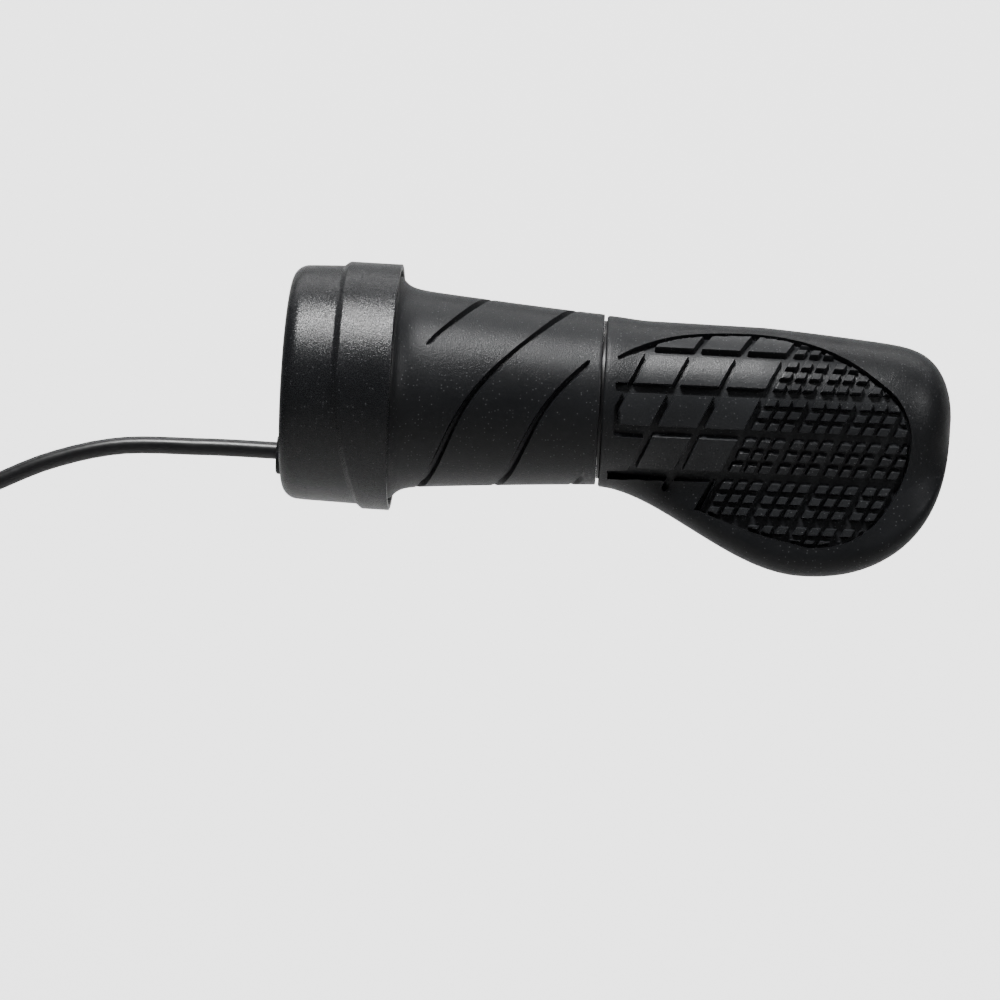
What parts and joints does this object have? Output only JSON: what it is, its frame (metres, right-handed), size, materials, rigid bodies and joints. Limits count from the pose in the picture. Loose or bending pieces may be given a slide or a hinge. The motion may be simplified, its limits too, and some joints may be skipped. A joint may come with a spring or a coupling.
{
  "type": "twist throttle grip",
  "caption": "Half-twist throttle for a handlebar: fixed housing, sprung turning sleeve, fixed palm grip with a textured pad and wing, and a thin lead with a plug.",
  "frame": {"origin": "on the handlebar's axis at the housing's inboard face", "axes": "+X outboard along the handlebar, -Y out of the patterned front of the palm grip, -Z towards the palm wing's lower edge"},
  "size_m": [0.2572, 0.0516, 0.1288],
  "materials": {
    "black_plastic": "satin black moulded nylon with a fine speckled mould texture",
    "inner_plastic": "plain dark grey moulded nylon",
    "grip_rubber": "matt black thermoplastic rubber",
    "cable_sheath": "smooth black PVC sheath",
    "seal_rubber": "dark red silicone",
    "zinc_steel": "zinc plated",
    "spring_steel": "oiled spring wire and sheet",
    "nickel": "nickel plated magnet",
    "brass": "brass contact",
    "tinned_copper": "tinned copper",
    "white_nylon": "natural nylon",
    "circuit_board": "green solder mask",
    "sensor_resin": "moulded epoxy",
    "wire_red": "PVC insulation",
    "wire_black": "PVC insulation",
    "wire_green": "PVC insulation"
  },
  "bodies": {
    "housing": {"housing_shell": "black_plastic", "mounting_hub": "inner_plastic", "cover_screw_1": "zinc_steel", "cover_screw_2": "zinc_steel", "cover_screw_3": "zinc_steel", "cover_screw_4": "zinc_steel", "clamp_screw": "zinc_steel", "cable_gland": "grip_rubber", "cord_saddle": "inner_plastic", "saddle_screw_1": "zinc_steel", "saddle_screw_2": "zinc_steel", "hall_board": "circuit_board", "hall_sensor": "sensor_resin", "sensor_leg_1": "tinned_copper", "sensor_leg_2": "tinned_copper", "sensor_leg_3": "tinned_copper", "wire_red": "wire_red", "wire_black": "wire_black", "wire_green": "wire_green", "return_spring": "spring_steel", "thrust_washer": "white_nylon", "retaining_ring": "spring_steel", "seam_washer": "black_plastic", "grip_core": "inner_plastic", "palm_grip": "grip_rubber", "cable": "cable_sheath", "cable_coil": "cable_sheath", "cable_tail": "cable_sheath", "coil_tie": "black_plastic", "plug_boot": "grip_rubber", "plug_body": "black_plastic", "plug_ring": "black_plastic", "plug_seal": "seal_rubber", "plug_contact_1": "brass", "plug_contact_2": "brass", "plug_contact_3": "brass"},
    "twist_sleeve": {"sleeve_core": "inner_plastic", "twist_rubber": "grip_rubber", "magnet_north": "nickel", "magnet_south": "nickel"}
  },
  "joints": [
    {"name": "throttle_twist", "type": "hinge", "parent": "housing", "child": "twist_sleeve", "pos_m": [0, 0, 0], "axis": [1, 0, 0], "range_deg": [0, 65], "stiffness_Nm_per_rad": 0.12, "springref_deg": -20.05, "deforming": ["return_spring"]}
  ]
}
